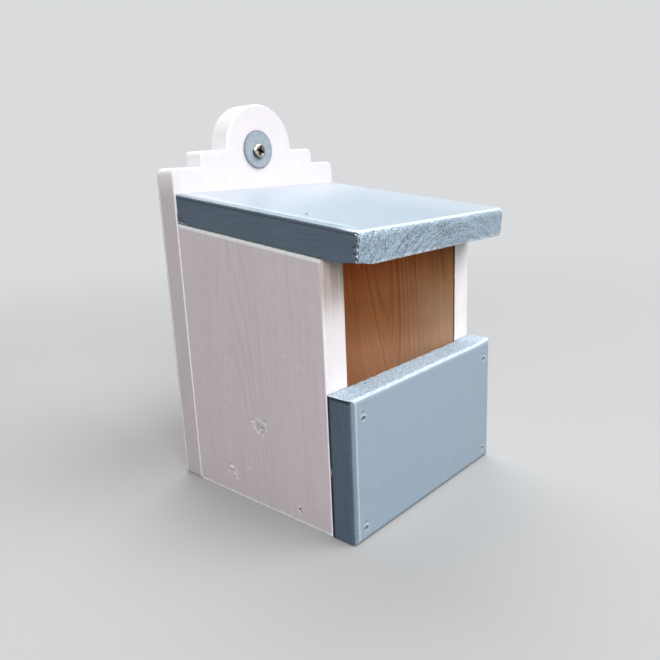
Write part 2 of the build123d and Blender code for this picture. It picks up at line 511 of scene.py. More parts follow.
def bare_pine(finish, heart, grain):
    """Colour and ridge height, in mm, of wood without paint, and its rings; the colour carries painted light and
    shade of the chamber.
    """
    dark, fibre = rings_of(finish, heart, grain)
    blush = finish.cloud(finish.place(), 28.0, 2.0)
    x, y, z = finish.xyz()
    # Painted shade: darker and warmer at the chamber's upper front, under the roof.
    painted_warm_shade = y.rise(-0.095, -0.125) * z.rise(0.012, 0.036)
    colour = finish.mix(dark * 0.72 + blush * 0.12 + painted_warm_shade * 0.24, PINE_PALE, PINE_DARK)
    # Greyer towards the bottom, at the lower front by the opening and on the wall side; in the chamber this grey
    # is painted sheen of the light falling in.
    wall = y.rise(-0.004, -0.001)
    greyed_low_front_and_wall = z.rise(0.0, -0.055) * 0.7 + y.rise(-0.08, -0.125) * z.rise(0.035, 0.0) * 0.85 + wall
    colour = finish.mix(greyed_low_front_and_wall.min(1.0) * 0.52, colour, PINE_GREY)
    # Painted light and shade: brighter deeper in, and brighter away from the slanting line of the roof's shadow
    # that below measures from; the wall side is painted darker again.
    below = z + (y + 0.057) * 0.268
    light = fibre * 0.3 + (y.min(-0.0655) + 0.08) * 5.5 + 0.93 - wall * 0.3
    light = light + below.rise(-0.005, 0.012) * y.rise(-0.128, -0.11) * 0.24 + painted_warm_shade * 0.08
    light = light + below.rise(-0.022, -0.038) * 0.12
    light = light + y.rise(-0.12, -0.13) * below.rise(-0.015, -0.03) * 0.12
    return shade(finish, colour, light), dark * 0.05 + fibre * 0.03, dark


print("rings lean", HEART_LEAN)

# %% [markdown]
# ## Which way a surface looks
# A sawn end, a corner, a narrow side and what faces the sky each get their own paint, and on corners, narrow
# sides and upward faces that includes painted light and shade. The way that the surface looks tells them apart.

# %% Ends, corners and sides


def end_of(finish, grain):
    """1 where the surface cuts across the fibres."""
    return finish.facing()[1 if grain == "roof" else 2].abs().rise(0.5, 0.85)


def corner_of(finish):
    """1 on the rounded corners of a board, where the surface looks between two ways."""
    x, y, z = finish.facing()
    return x.abs().max(y.abs()).max(z.abs()).rise(0.975, 0.90)


def upward(finish):
    """0 on upright surfaces to 1 on those that look at the sky."""
    return finish.facing()[2].rise(0.42, 0.66)


def narrow_side(finish):
    """1 on the boards' narrow sides, which look left and right; the finishes take the gloss off there and paint
    shade.
    """
    return finish.facing()[0].abs().rise(0.88, 0.97)


print("masks:", [mask.__name__ for mask in (end_of, corner_of, upward, narrow_side)])

# %% [markdown]
# ## Paint over pine
# The paint is thin and brushed on along the grain, so the wood still reads through it: the fibres
# as faint streaks of two tints, and the sawn ends as coarse speckle where the pits drink the paint.
# Upward corners get a painted highlight. A coat over a dull base gives the satin gloss, and its weight says where
# the gloss is.

# %% Tints and flecks
# Painted light and shade: the brightest white, the pale blue and the third tint of each set below are painted
# highlight; the darkest blue is painted shade for narrow sides.
HIGHLIGHT_WHITE = (1.0, 0.985, 0.99)
BLUE_HIGHLIGHT = (0.74, 0.83, 0.895)
BLUE_SHADE = (0.072, 0.094, 0.132)
WHITE = ((0.90, 0.865, 0.885), (0.94, 0.885, 0.915), HIGHLIGHT_WHITE)
BACK = ((0.80, 0.765, 0.785), (0.825, 0.78, 0.805), (0.95, 0.935, 0.945))
BLUE = ((0.325, 0.42, 0.515), (0.34, 0.435, 0.525), BLUE_HIGHLIGHT)
BLUE_THICK = ((0.331, 0.425, 0.52), (0.336, 0.43, 0.523), BLUE_HIGHLIGHT)


def layered(finish, paint, *layers):
    """Lays one tint after another over the paint, each where its mask is 1."""
    for mask, tint in layers:
        paint = finish.mix(mask, paint, tint)
    return paint


def spot(side, up, wide, tall):
    """1 inside a small ellipse round nought, fading at its border."""
    return (side * side * (1 / wide ** 2) + up * up * (1 / tall ** 2)).rise(1.5, 0.6)


def flecked(side, up, spots, pale=0.0, dark=0.0):
    """Flecks of paint: each spot has a place, a width, a height and a strength, below 0 a dark one."""
    for right, high, wide, tall, strength in spots:
        patch = spot(side - right, up - high, wide, tall) * abs(strength)
        if strength > 0:
            pale = patch.max(pale)
        else:
            dark = patch.max(dark)
    return pale, dark


# Pale spots are painted highlights; dark ones are partly the pin heads and partly painted shade.
PIN_SPOTS = {
    "roof_front": ((0.5, 0.8, 1.0, 1.0, 1.0), (3.0, 0.8, 1.2, 1.2, 0.6), (-0.7, -0.7, 1.0, 1.0, -0.5),
                   (0.0, 2.4, 1.1, 1.1, -0.3)),
    "roof_back": ((-1.0, 2.0, 0.9, 1.5, 0.7), (0.6, -0.6, 1.2, 1.2, -0.4)),
    "side": ((0.1, 1.7, 1.1, 1.0, 1.0), (0.1, -2.0, 0.9, 0.9, 0.6), (-2.5, 0.0, 0.9, 0.5, 0.4),
             (0.0, 0.0, 0.8, 0.75, -1.4), (-1.4, -1.2, 0.7, 0.6, -0.4)),
    "front": ((-1.7, 1.4, 0.9, 0.7, 0.6), (0.4, 1.6, 1.1, 0.7, 0.9), (2.4, 0.3, 0.7, 1.1, 0.5),
              (0.2, -2.2, 1.8, 0.5, 0.35), (0.0, 0.0, 2.3, 1.0, -0.75), (0.4, -0.1, 1.2, 0.8, -0.95),
              (-0.1, 3.3, 1.1, 0.9, -0.35)),
}


def pin_marks(finish, names):
    """Marks over the pins, as wires: pale flecks painted as highlights round each, and dark ones that are partly
    the pin heads and partly painted shade.
    """
    pale, dark = 0.0, 0.0
    places = finish.in_mm()
    ragged = (finish.cloud(finish.place(), 900.0, 1.0) - 0.5) * 1.6
    for name in names:
        head, way = HEADS[name]
        x, y, z = [place - number / MM for place, number in zip(places, head)]
        if way.z > 0.5:
            kind, side, up = "roof_front" if "front" in name else "roof_back", x, y
        elif way.y < -0.5:
            kind, side, up = "front", x, z
        else:
            kind, side, up = "side", y, z
        pale, dark = flecked(side + ragged, up - ragged, PIN_SPOTS[kind], pale, dark)
    return pale, dark


print("flecks round a pin:", {kind: len(spots) for kind, spots in PIN_SPOTS.items()})

# %% [markdown]
# ## How the paint lies
# This is the finish that all five boards share. It starts with two tints in streaks, then come the speckle of
# sawn ends, painted light on upward ends and corners, the marks, and last the places where no paint came. A coat
# over a dull base gives the satin gloss, and its weight says where the gloss is.

# %% Painted pine


def sawn_crumb(finish):
    """Speckle of a sawn end: grains, pits and scores bent round a heart; calmer at the right."""
    x, y, z = finish.xyz()
    side, up = x - 20 * MM, z + 4 * MM
    bent = {"X": (side * side + up * up).root(), "Y": side, "Z": y}
    arched = finish.stretch(finish.node("ShaderNodeCombineXYZ", None, bent), (800, 40, 800))
    coarse = finish.cloud(finish.place(), 650.0, 2.0, 0.6).rise(0.34, 0.66)
    fine = finish.cloud(finish.place(), 1500.0, 1.0).rise(0.3, 0.7)
    pits = finish.cloud(finish.place(), 900.0, 0.0).rise(0.64, 0.74)
    scored = finish.cloud(arched, 1.0, 1.0).rise(0.35, 0.65)
    crumb = (coarse - 0.5) * 0.36 + (fine - 0.5) * 0.6 + (scored - 0.5) * 0.42 - pits * 0.40
    return crumb * (1 - x.rise(0.0, 0.06) * 0.35)


def painted_pine(name, grain, heart, tints, bare, speckle, coat, streak, pins=(), marks=None, edge=None):
    """A board's finish: paint where bare is 0, raw wood where it is 1."""
    cool, warm, highlight_tint = tints
    finish = Finish(name)
    place = finish.place()
    x, y, z = finish.xyz()
    end, corner, sky = end_of(finish, grain), corner_of(finish), upward(finish)
    if grain == "roof":
        # On the roof only the corners that don't turn left, and those at the nose, get the painted highlight.
        corner = corner * finish.facing()[0].rise(-0.5, -0.2).max(y.rise(-0.150, -0.160))
    crumb = sawn_crumb(finish)
    wood, ridge, rings = bare_pine(finish, heart, grain)
    paint = finish.mix(fibres(finish, grain, 330, 7, 2.0).rise(0.3, 0.7), cool, warm)
    if edge is not None:
        paint = edge(finish, paint)
    brush = fibres(finish, grain, 700, 16)
    mottle = finish.cloud(place, 120.0, 3.0)
    painted_nib_specks = finish.cloud(place, 330.0, 2.0)
    patchy = finish.cloud(place, 16.0, 1.0).rise(0.3, 0.7) * 0.8 + 0.4
    plain = (brush - 0.5) * patchy * streak + (mottle - 0.5) * 0.08 + 1.0
    plain = plain + (0.3 - rings) * streak * (narrow_side(finish) * 0.35 + 0.15)
    # Pale and dark specks painted as the light and shade of small paint nibs.
    plain = plain + painted_nib_specks.rise(0.63, 0.72) * 0.09 - painted_nib_specks.rise(0.36, 0.28) * 0.05
    paint = shade(finish, paint, plain + end * crumb * speckle)
    # Painted light: upward sawn ends are painted paler, more in the middle and less at the right, and upward
    # corners get a painted highlight.
    painted_top_light = 0.36 + x.rise(-0.055, -0.02) * x.rise(0.05, 0.01) * 0.16 - x.rise(0.03, 0.06) * 0.06
    paint = layered(finish, paint, (end * sky * (painted_top_light + crumb * 0.46), (0.71, 0.85, 0.985)),
                    (corner * sky * (0.75 + crumb * 0.3), highlight_tint))
    smooth = brush * 0.05 + mottle * 0.15
    matt = 0.0
    if pins:
        pale, matt = pin_marks(finish, pins)
        paint = shade(finish, finish.mix(pale * 0.8, paint, highlight_tint), 1 - matt.min(1.3) * 0.66)
    if marks is not None:
        light, dull = marks(finish)
        paint = shade(finish, finish.mix(light, paint, highlight_tint), 1 - dull)
        smooth = smooth + light * 0.30 - dull * 0.35
        matt = dull.max(matt)
    raw, shadow = bare(finish)
    colour = shade(finish, finish.mix(raw, paint, wood), 1 - shadow * 0.75)
    height = (1 - end) * ((1 - raw) * smooth + raw * ridge) + end * crumb * 0.13
    gloss = (1 - raw.max(matt).min(1.0)) * coat(finish, end)
    return finish.surface(colour, 0.85, height, coat=gloss)


def white_gloss(finish, end):
    return 0.55 - end * 0.35


def blue_gloss(finish, end):
    return (1.0 - end * 0.5) * (1 - narrow_side(finish))


print("the wood reads through the paint of", len(WHITE), "tints")

# %% [markdown]
# ## Where no paint came
# The inside stayed bare, and so did the side that lies on the wall. The brush lapped a little round
# every corner, so each border wanders with a noise.

# %% Raw wood


def inside_of_side(finish):
    """Raw wood on the chamber's wall, with the paint lapping a little round the front corner, and a painted
    shadow line beside that corner.
    """
    x, y, z = finish.xyz()
    lap = finish.cloud(finish.place(), 160.0, 2.0) * MM
    raw = x.abs().rise_at(INNER_HALF, 0.75, 0.45) * (y - lap).rise_at(SIDE_FRONT, -0.9, -0.4)
    return raw, raw * y.rise_at(SIDE_FRONT, 1.3, 0.5)


def inside_of_back(finish):
    """Raw wood in the chamber and on the side that lies on the wall."""
    x, y, z = finish.xyz()
    lap = finish.cloud(finish.place(), 90.0, 3.0) * 7 * MM
    chamber = x.abs().rise_at(INNER_HALF, 0.3, 0) * y.rise_at(BACK_FRONT, 1.0, 0.6)
    chamber = chamber * z.rise_at(SIDE_BACK_TOP, 0.5, 0)
    body = x.abs().rise_at(HALF_WIDTH - lap, 0, -1) * z.rise_at(SHOULDER - lap, 0, -1)
    upper = x.abs().rise_at(STEP_HALF - lap, 0, -1) * z.rise_at(STEP - lap, 0, -1)
    head = (x * x + (z - STEP) * (z - STEP)).root().rise_at(HEAD - lap, 0, -1)
    return chamber.max(y.rise_at(0, -0.5, -0.3) * body.max(upper).max(head)), 0.0


def inside_of_roof(finish):
    """Raw wood under the roof, from just in front of the sides to the back."""
    x, y, z = finish.xyz()
    lap = finish.cloud(finish.place(), 110.0, 3.0) * 6 * MM
    low = (z - (y - BACK_FRONT) * ROOF_DROP).rise_at(SIDE_BACK_TOP, 0.5, 0.2)
    return low * x.abs().rise_at(INNER_HALF, 1, 0) * (y - lap).rise_at(SIDE_FRONT, -2, -1), 0.0


def inside_of_front(finish):
    """Raw wood on the front board's back, below a strip that the brush reached, and its bitten rim painted half
    in shade, with painted shadow in slits along the top's back corner.
    """
    x, y, z = finish.xyz()
    place = finish.place()
    lap = finish.cloud(place, 110.0, 3.0) * 7 * MM
    raw = y.rise_at(SIDE_FRONT, -0.5, -0.3) * (z + lap).rise_at(FRONT_TOP, -1, -2)
    raw = raw * x.abs().rise_at(HALF_WIDTH, -0.8, -1.6)
    tooth = (finish.cloud(place, 330.0, 1.0) - 0.5) * 8.0 * MM
    bitten = (y + tooth).rise_at(SIDE_FRONT, -1.2, -0.8) * x.abs().rise_at(INNER_HALF, 0, -1)
    gap = (finish.cloud(place, 420.0, 2.0) - 0.5) * 1.6 * MM
    painted_slit_shadow = (y + gap).rise_at(SIDE_FRONT, -1.5, -0.9) * (1 - raw) * 0.85
    return raw.max(bitten), painted_slit_shadow * (1 - bitten) + bitten * 0.5


print("raw wood starts", round(HALF_WIDTH - INNER_HALF, 3), "in from the sides")

# %% [markdown]
# ## Edges of the blue boards
# The narrow sides are painted dark as shade. The front board's corners get a painted highlight line, and the
# roof's left corner a painted highlight line beside a darker strip. By the roof's nose the fibres broke away in
# small bites, painted near black as their shade.

# %% Blue edges
BITES = ((16.7, 3.2, 0.7), (13.2, 1.6, 0.6), (10.0, 3.6, 1.1), (6.6, 2.6, 0.7), (3.6, 2.2, 0.8))


# Painted shade: the narrow sides are mixed towards a dark tint.
def narrow_side_shade(finish, paint, grain, tint=BLUE_SHADE):
    streaks = fibres(finish, grain, 900, 50, 3.0, 0.7)
    return finish.mix(narrow_side(finish) * ((streaks - 0.5) * 0.28 + 0.76), paint, tint)


def routed_edge(finish, paint):
    """The front board's rounded corners: painted shade towards the narrow side, with a painted highlight line in
    front.
    """
    x, y, z = finish.xyz()
    turn = finish.facing()[0].abs()
    narrow = narrow_side(finish)
    paint = narrow_side_shade(finish, paint, "board", (0.055, 0.07, 0.11))
    # Painted shade: a dark line where the rounding meets the narrow side, and the rounding's middle a little
    # darker.
    paint = shade(finish, paint, 1 - turn.rise(0.80, 0.88) * turn.rise(0.98, 0.94) * 0.35)
    paint = shade(finish, paint, 1 - turn.rise(0.30, 0.52) * turn.rise(0.97, 0.88) * 0.30)
    drip = spot((y - SIDE_FRONT) / MM + 0.1, z / MM + 64.0, 1.15, 3.1) * x.rise(0.0, -MM)
    seam = y.rise_at(SIDE_FRONT, -2.6, -1.0).max(z.rise_at(FRONT_TOP, -3.4, -1.6))
    # A dark seam, a white drip, and a painted highlight line on the front-facing part of the rounding.
    return layered(finish, paint, (narrow * seam * 0.7, (0.020, 0.018, 0.035)),
                   (narrow * drip, (0.85, 0.82, 0.87)),
                   (turn.rise(0.05, 0.14) * turn.rise(0.40, 0.24) * 0.35, BLUE_HIGHLIGHT))


def torn_edge(finish, paint):
    """The roof's narrow sides painted dark as shade, with painted sheen and highlights on its top, lip and right
    corner, and the bites beside the nose painted near black as shade.
    """
    x, y, z = finish.xyz()
    turn = finish.facing()[0]
    narrow, sky = narrow_side(finish), upward(finish)
    run = (y - HINGE.y) * ALONG.y + (z - HINGE.z) * ALONG.z - ROOF_REACH
    up = (y - HINGE.y) * ACROSS.y + (z - HINGE.z) * ACROSS.z
    ragged = (finish.cloud(finish.place(), 900.0, 2.0) - 0.5) * 1.1
    painted_bite_shadow = 0.0
    for height, reach, half in BITES:
        along, across = run * (1 / (reach * MM)), (up / MM - height) * (1 / half)
        painted_bite_shadow = ((along * along + across * across).root() + ragged).rise(1.25, 0.85).max(painted_bite_shadow)
    # Painted shade: a dark line under the top's rounding on the narrow sides.
    painted_crease_shade = up.rise_at(BOARD, -3.0, -2.2)
    paint = shade(finish, narrow_side_shade(finish, paint, "roof"), 1 - painted_crease_shade * narrow * 0.3)
    # Painted sheen: a pale strip along the left rounding, a paler top towards the back and the right, and a
    # highlight along the nose's lower lip and the right rounding.
    strip = x.rise_at(0, -69.0, -71.0) * turn.rise(-0.75, -0.55) * sky
    painted_roof_sheen = (y.rise(-0.12, 0.0) * 0.36).max(x.rise(0.0, 0.07) * 0.16 + 0.02) * sky
    painted_lip_highlight = (up.rise_at(0, 2.0, 0.8) * run.rise_at(0, 2.5, 1.5)).max(turn.rise(0.15, 0.35) * turn.rise(0.93, 0.80))
    # Painted shade on the left rounding, and near black in the bites.
    return layered(finish, paint, (turn.rise(-0.58, -0.78) * (1 - narrow) * 0.76, BLUE_SHADE),
                   (strip * 0.7, (0.44, 0.62, 0.72)), (painted_roof_sheen, (0.86, 0.85, 0.90)),
                   (painted_lip_highlight * (ragged * 0.5 + 0.6), BLUE_HIGHLIGHT),
                   (painted_bite_shadow * x.rise_at(0, -74.0, -74.5) * 0.85, (0.015, 0.022, 0.032)))


def painted_roof_edge_sheen(finish):
    """Along the roof's left corner: a painted highlight line on the top, and a strip beside the dark side painted
    darker and less glossy.
    """
    x, y, z = finish.xyz()
    inward = x + (finish.cloud(finish.place(), 200.0, 2.0) - 0.5) * 1.6 * MM + HALF_WIDTH
    above = finish.facing()[2].rise(0.3, 0.5) * y.rise(-0.162, -0.146)
    line = inward.rise_at(0, 5.0, 6.5) * inward.rise_at(0, 12.0, 8.5) * above
    return line * 0.3, inward.rise_at(0, 6.0, 4.0) * above * 0.4


print("bites beside the nose:", len(BITES))

# %% [markdown]
# ## Edges of the white boards
# The back board's edges are painted darker below the shoulders and lighter above them, lightest on the head:
# painted light and shade. The broad faces of the sides are painted a shaded greyish white, with a painted
# highlight along their tops and bottoms.

# %% White edges
RIM_TOP = SIDE_BACK_TOP - BACK_FRONT * ROOF_DROP


def back_edge_light_and_shade(finish, paint):
    """The back's narrow sides painted darker low down and lighter above the shoulders, lightest on the head, with
    a painted pale rim by the back and front corners.
    """
    x, y, z = finish.xyz()
    across = finish.facing()[1]
    beside = across.rise(-0.75, -0.45)
    front_rim = y.rise_at(BACK_FRONT, 1.2, 0.7) * z.rise(-0.10, 0.02)
    rim = y.rise_at(0, -3.0, -2.2).max(front_rim) * across.rise(-0.85, -0.6)
    return layered(finish, paint, (narrow_side(finish) * z.rise(0.105, 0.085) * (1 - rim), (0.66, 0.60, 0.635)),
                   ((beside * z.rise(0.085, 0.11)).max(rim * 0.9), (0.95, 0.93, 0.94)),
                   (beside * z.rise(0.117, 0.121), HIGHLIGHT_WHITE))


def shaded_side(finish, paint):
    """The sides' broad faces painted a shaded greyish white, with painted highlights along top, bottom and inner
    front corner, a painted shadow under the roof on the left and painted light there on the right.
    """
    x, y, z = finish.xyz()
    narrow = narrow_side(finish)
    streaks = fibres(finish, "board", 380, 5, 2.0).rise(0.3, 0.7)
    shaded = finish.mix(streaks, (0.70, 0.635, 0.667), (0.733, 0.648, 0.688))
    ragged = finish.cloud(finish.place(), 500.0, 3.0) * 2.0 * MM
    # Painted highlight: a pale ragged rim along the bottom and the top.
    rim = (z + ragged).rise_at(BASE, 3.2, 2.4).max((z - y * ROOF_DROP).rise_at(RIM_TOP, -2.8, -2.1))
    # Painted shade on the seam by the back board, growing downwards.
    seam = y.rise_at(BACK_FRONT, -1.5, -0.8) * z.rise(0.02, -0.08) * 0.8
    # Painted shadow of the roof, brownish, on the left side's upper front edge.
    painted_roof_shadow = x.rise(0.0, -MM) * z.rise(0.018, 0.044) * (1 - narrow) * (streaks * 0.35 + 0.46)
    arris = x.abs().rise_at(INNER_HALF, 1.0, 0.3) * y.rise_at(SIDE_FRONT, 0.6, 0)
    # Painted light on the right side's upper front edge, a painted highlight on the inner front corner, and the
    # shaded tint on the broad faces and the seam.
    return layered(finish, paint, (rim, (0.96, 0.945, 0.955)), (painted_roof_shadow, (0.42, 0.30, 0.21)),
                   (x.rise(0.0, MM) * z.rise(0.0, 0.045) * (1 - narrow), (1.0, 0.98, 0.985)),
                   (arris * z.rise(0.04, 0.02), (1.0, 0.985, 0.975)),
                   ((narrow * (1 - rim)).max(seam), shaded))


print("the sides' top rim starts at", round(RIM_TOP, 4))

# %% [markdown]
# ## Two knots
# The left side has a round knot and, lower down, a crescent one. The paint cracked over them into ridges and
# grooves; the pale flecks over them are painted highlights, and the dark flecks partly the knots' own dots and
# partly painted shade.

# %% Knots
ROUND_KNOT = (-82 * MM, BASE + 54.4 * MM)
CRESCENT_KNOT = (-51 * MM, BASE + 9.9 * MM)
ROUND_SPOTS = (
    (3.3, 2.5, 2.1, 0.75, 1.0), (-0.1, 3.4, 1.9, 0.85, 0.75), (-6.7, 1.3, 1.5, 0.9, 0.8),
    (-1.8, -4.9, 1.9, 0.9, 0.65), (2.1, -5.5, 1.8, 0.7, 0.5), (0.7, -2.4, 0.75, 0.8, 0.8),
    (4.9, 0.8, 1.3, 1.8, 0.28), (-5.4, -1.6, 1.2, 2.2, 0.24), (6.3, -1.5, 0.9, 0.8, 0.4),
    (1.5, -0.7, 1.1, 0.8, -0.42), (1.7, -3.7, 1.0, 0.9, -0.32), (-1.8, -0.3, 2.0, 2.6, -0.13),
    (4.6, 4.3, 1.7, 0.9, -0.20), (-6.7, 3.1, 1.7, 0.6, -0.20),
)
CRESCENT_SPOTS = (
    (0.4, 8.9, 1.9, 0.95, 0.9), (2.0, 8.2, 1.4, 0.8, 0.7), (-2.1, 4.4, 1.5, 1.2, 0.4),
    (2.8, 3.8, 1.2, 0.9, 0.7), (4.8, 1.6, 1.2, 1.3, 0.45), (18.0, 12.7, 2.2, 0.6, 0.5),
    (-0.4, 10.8, 1.6, 0.7, -0.24), (1.2, 6.7, 1.8, 0.8, -0.30), (3.5, 2.5, 1.0, 0.6, -0.26),
    (7.6, 8.2, 0.8, 1.9, -0.12),
)


def knot_marks(finish):
    """Painted highlights on the ridges, and darker flecks that are partly the knots' dots and partly painted
    shade, where the paint sits over the two knots of the left side.
    """
    x, y, z = finish.in_mm()
    ragged = (finish.cloud(finish.place(), 330.0, 3.0) - 0.5) * 2.6
    broken = finish.cloud(finish.place(), 310.0, 1.0).rise(0.40, 0.56)
    side, up = ROUND_KNOT[0] / MM - y, z - ROUND_KNOT[1] / MM
    away = (side * side + up * up * 1.3).root() + ragged
    # A broken ring of painted highlight round the round knot; the crescent gets an arc of it below.
    ring = away.rise(4.3, 5.0) * away.rise(6.7, 5.9) * broken * 0.4
    light, dull = flecked(side + ragged * 0.5, up + ragged * 0.4, ROUND_SPOTS, ring)
    side, up = CRESCENT_KNOT[0] / MM - y, z - CRESCENT_KNOT[1] / MM
    away = (side * side + up * up).root() + ragged * 0.4
    sector = (side * 0.6 + up * 0.8).rise(5.6, 8.0)
    arc = away.rise(8.3, 9.2) * away.rise(10.7, 9.8) * sector * (0.35 + up.rise(4.0, 9.0) * 0.35)
    light, dull = flecked(side + ragged * 0.3, up - ragged * 0.3, CRESCENT_SPOTS, light.max(arc), dull)
    outer = x.rise(-74.0, -74.4)
    return outer * light.min(1.0), outer * dull


print("flecks over the knots:", len(ROUND_SPOTS), "and", len(CRESCENT_SPOTS))

# %% [markdown]
# ## The five painted finishes
# Each board has its own heart, so no two show the same rings, and its own marks and edges.

# %% Painted boards
white_left = painted_pine("white_painted_pine_left", "board", (-95.0, -63.0, 0.0), WHITE, inside_of_side,
                          0.4, white_gloss, 0.16, ["floor_pin_front_left"], knot_marks, shaded_side)
white_right = painted_pine("white_painted_pine_right", "board", (60.0, -76.0, 0.10), WHITE, inside_of_side,
                           0.4, white_gloss, 0.16, edge=shaded_side)
white_back = painted_pine("white_painted_pine_back", "board", (15.0, 25.0, 0.0), BACK, inside_of_back,
                          0.3, white_gloss, 0.03, edge=back_edge_light_and_shade)
blue_roof = painted_pine("blue_painted_pine_roof", "roof", (20.0, 40.0), BLUE, inside_of_roof, 0.95, blue_gloss,
                         0.12, ["roof_pin_back_left", "roof_pin_front_left"], painted_roof_edge_sheen, torn_edge)
blue_front = painted_pine("blue_painted_pine_front", "board", (-10.0, -200.0, 0.0), BLUE_THICK, inside_of_front,
                          0.8, blue_gloss, 0.012, pins_of("front_pin"), edge=routed_edge)
print("finishes:", [made.name for made in (white_left, white_right, white_back, blue_roof, blue_front)])

# %% [markdown]
# ## Sides
# Each side is one upright board. Its top slopes with the roof, and its outer corners are eased.

# %% The two sides
EASE = 1.2 * MM
SEAM = 0.8 * MM
CRISP = 0.45 * MM
UPRIGHT = (0, 0, 1)


def side_top(y):
    return SIDE_BACK_TOP + ROOF_DROP * (y - BACK_FRONT)


def side_skin(sign):
    def skin(points):
        x, y, z = points.T
        outer, inner = sign * x - HALF_WIDTH, INNER_HALF - sign * x
        front, back = SIDE_FRONT - y, y - BACK_FRONT
        top, bottom = (z - side_top(y)) * math.cos(ROOF_SLOPE), BASE - z
        eased = [meet(outer, front, EASE), meet(outer, top, EASE), meet(outer, back, SEAM)]
        crisp = [(outer, bottom), (inner, front), (inner, back), (inner, top), (inner, bottom)]
        crisp += [(front, top), (front, bottom), (back, top), (back, bottom)]
        return np.max(eased + [meet(one, other, CRISP) for one, other in crisp], axis=0)
    return skin


def slope_top(points):
    """Leans the top of an upright lattice down to the front, and leaves its lower part alone."""
    points = points.copy()
    share = np.clip(points[:, 2] / SIDE_BACK_TOP, 0, 1)
    points[:, 2] += share * ROOF_DROP * (points[:, 1] - BACK_FRONT)
    return points


def make_side(node, sign, material, seed, extra=None, knots=()):
    """One side board, its lattice finer round the pins and the knots."""
    low, high = (INNER_HALF, HALF_WIDTH) if sign > 0 else (-HALF_WIDTH, -INNER_HALF)
    pins = pins_of("floor_pin", node.split("_")[0])
    near_z = pins_at(pins, 2) + [knot[1] for knot in knots]
    grid = (lines(low, high, ACROSS_FIBRES),
            lines(SIDE_FRONT, BACK_FRONT, ACROSS_FIBRES, pins_at(pins, 1), *PIN_LINES),
            lines(BASE, SIDE_BACK_TOP, ALONG_FIBRES, near_z, 8 * MM if knots else PIN_LINES[0], 0.6 * MM))
    make_board(node, grid, slope_top, side_skin(sign), UPRIGHT, material, "white_paint", seed, extra)


def knots_in_left(points, facing):
    """Ridges of the round knot and of the crescent knot on the left side's outer face, as depth."""
    outer = facing[:, 0] < -0.7
    y, z = points[:, 1], points[:, 2]
    depth = np.zeros(len(points))
    side, up = (ROUND_KNOT[0] - y) / MM, (z - ROUND_KNOT[1]) / MM
    turn = np.arctan2(up, side)
    away = np.hypot(side, up * 1.15) + 0.5 * np.sin(3 * turn + 1) + 0.3 * np.sin(7 * turn)
    depth += 0.30 * (1 - ramp(away, 3.6, 4.8)) + 0.12 * ramp(away, 5.6, 6.4) * (1 - ramp(away, 6.6, 8.5))
    side, up = (CRESCENT_KNOT[0] - y) / MM, (z - CRESCENT_KNOT[1]) / MM
    away = np.hypot(side, up)
    sector = ramp(side * 0.6 + up * 0.8, 5.6, 8.0)
    depth += 0.40 * sector * (1 - ramp(away, 8.2, 9.2)) * ramp(away, 5.5, 7.5)
    return depth * outer


make_side("left_side", -1, white_left, 3.0, knots_in_left, (ROUND_KNOT, CRESCENT_KNOT))
make_side("right_side", 1, white_right, 71.0)

# %% [markdown]
# ## Front board
# A wide board across the lower half, its front corners well rounded by a router and its top edge
# rounded towards the front only. The top is end grain, rough along its back corner.

# %% Front board
FRONT_ROUND = 3.5 * MM
TOP_ROUND = 3.0 * MM
TOP_CORNER = 1.3 * MM
TOP_BACK = 0.8 * MM
TOP_BULGE = 1.0 * MM


def front_skin(points):
    """Each pair of faces is rounded by its own radius; the top bulges a little at its right end."""
    x, y, z = points.T
    front, back = FRONT_FACE - y, y - SIDE_FRONT
    sides, bottom = np.abs(x) - HALF_WIDTH, BASE - z
    middle = (FRONT_FACE + SIDE_FRONT) / 2
    bulge = TOP_BULGE * np.clip(1 - ((y - middle) / (BOARD / 2)) ** 4, 0, 1) * ramp(x, 55 * MM, 72 * MM)
    top = z - FRONT_TOP - bulge
    rounded = [meet(front, sides, FRONT_ROUND), meet(front, top, TOP_ROUND), meet(front, bottom, FRONT_ROUND),
               meet(sides, top, TOP_CORNER), meet(back, top, TOP_BACK)]
    crisp = [(sides, bottom), (back, sides), (back, bottom)]
    return np.max(rounded + [meet(one, other, CRISP) for one, other in crisp], axis=0)


def front_fringe(points, facing):
    """Fibres missing along the back corner of the sawn top, as depth."""
    edge = ramp(points[:, 1], SIDE_FRONT - 1.3 * MM, SIDE_FRONT - 0.5 * MM) * ramp(facing[:, 2], 0.2, 0.5)
    return 1.7 * edge * np.maximum(ripple(points, (0.9, 0.9, 0.9), 401.0) + 0.05, 0)


front_pins = pins_of("front_pin")
grid = (lines(-HALF_WIDTH, HALF_WIDTH, ACROSS_FIBRES, pins_at(front_pins, 0), *PIN_LINES),
        lines(FRONT_FACE, SIDE_FRONT, ACROSS_FIBRES),
        lines(BASE, FRONT_TOP, ALONG_FIBRES, pins_at(front_pins, 2), *PIN_LINES))
make_board("front_board", grid, np.array, front_skin, UPRIGHT, blue_front, "blue_paint",
           137.0, front_fringe, PLANED_RIDGE * 0.35)

# %% [markdown]
# ## Roof
# The roof's fibres run from the back to the front, so the end that faces the viewer is a sawn one.
# The back end is cut upright to sit against the back board, the front one square to the slope.

# %% Roof board
NOSE_ROUND = 4.0 * MM
LIP_ROUND = 0.9 * MM
LIP_LIFT = 1.9 * MM
TOP_EASE = 1.8 * MM


def roof_place(points):
    """From x, share of the length and height over the underside to a place in the frame."""
    x, share, up = points.T
    back = up * math.tan(ROOF_SLOPE)
    run = ROOF_REACH + share * (back - ROOF_REACH)
    return np.array(HINGE) + np.outer(x, [1, 0, 0]) + np.outer(run, ALONG) + np.outer(up, ACROSS)


def roof_run_and_up(points):
    """How far along the roof's slope a point lies, and how high over the roof's underside."""
    away = points - np.array(HINGE)
    return away @ np.array(ALONG), away @ np.array(ACROSS)


